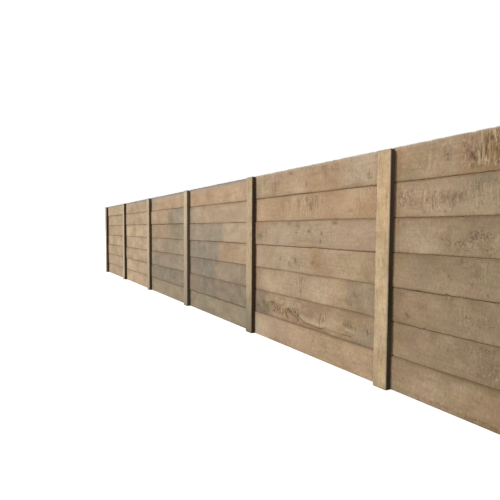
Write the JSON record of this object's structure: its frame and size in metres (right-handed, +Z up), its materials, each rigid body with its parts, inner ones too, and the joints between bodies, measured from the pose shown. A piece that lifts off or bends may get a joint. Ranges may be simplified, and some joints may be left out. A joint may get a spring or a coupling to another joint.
{
  "type": "precast concrete wall",
  "caption": "Boundary wall of flat precast concrete planks stacked on edge between grooved H-section posts, in a straight run of bays.",
  "frame": {"origin": "centre of the middle post's base, at ground level", "axes": "+X along the wall towards its right-hand end seen from the front, -Y out of the front, +Z up"},
  "size_m": [13.65, 0.18, 2.1],
  "materials": {
    "post_concrete": "matte",
    "plank_concrete": "matte"
  },
  "bodies": {
    "root": {"post_1": "post_concrete", "post_2": "post_concrete", "post_3": "post_concrete", "post_4": "post_concrete", "post_5": "post_concrete", "post_6": "post_concrete", "post_7": "post_concrete", "bay_1_plank_1": "plank_concrete", "bay_1_plank_2": "plank_concrete", "bay_1_plank_3": "plank_concrete", "bay_1_plank_4": "plank_concrete", "bay_1_plank_5": "plank_concrete", "bay_1_plank_6": "plank_concrete", "bay_1_plank_7": "plank_concrete", "bay_2_plank_1": "plank_concrete", "bay_2_plank_2": "plank_concrete", "bay_2_plank_3": "plank_concrete", "bay_2_plank_4": "plank_concrete", "bay_2_plank_5": "plank_concrete", "bay_2_plank_6": "plank_concrete", "bay_2_plank_7": "plank_concrete", "bay_3_plank_1": "plank_concrete", "bay_3_plank_2": "plank_concrete", "bay_3_plank_3": "plank_concrete", "bay_3_plank_4": "plank_concrete", "bay_3_plank_5": "plank_concrete", "bay_3_plank_6": "plank_concrete", "bay_3_plank_7": "plank_concrete", "bay_4_plank_1": "plank_concrete", "bay_4_plank_2": "plank_concrete", "bay_4_plank_3": "plank_concrete", "bay_4_plank_4": "plank_concrete", "bay_4_plank_5": "plank_concrete", "bay_4_plank_6": "plank_concrete", "bay_4_plank_7": "plank_concrete", "bay_5_plank_1": "plank_concrete", "bay_5_plank_2": "plank_concrete", "bay_5_plank_3": "plank_concrete", "bay_5_plank_4": "plank_concrete", "bay_5_plank_5": "plank_concrete", "bay_5_plank_6": "plank_concrete", "bay_5_plank_7": "plank_concrete", "bay_6_plank_1": "plank_concrete", "bay_6_plank_2": "plank_concrete", "bay_6_plank_3": "plank_concrete", "bay_6_plank_4": "plank_concrete", "bay_6_plank_5": "plank_concrete", "bay_6_plank_6": "plank_concrete", "bay_6_plank_7": "plank_concrete"}
  },
  "joints": []
}
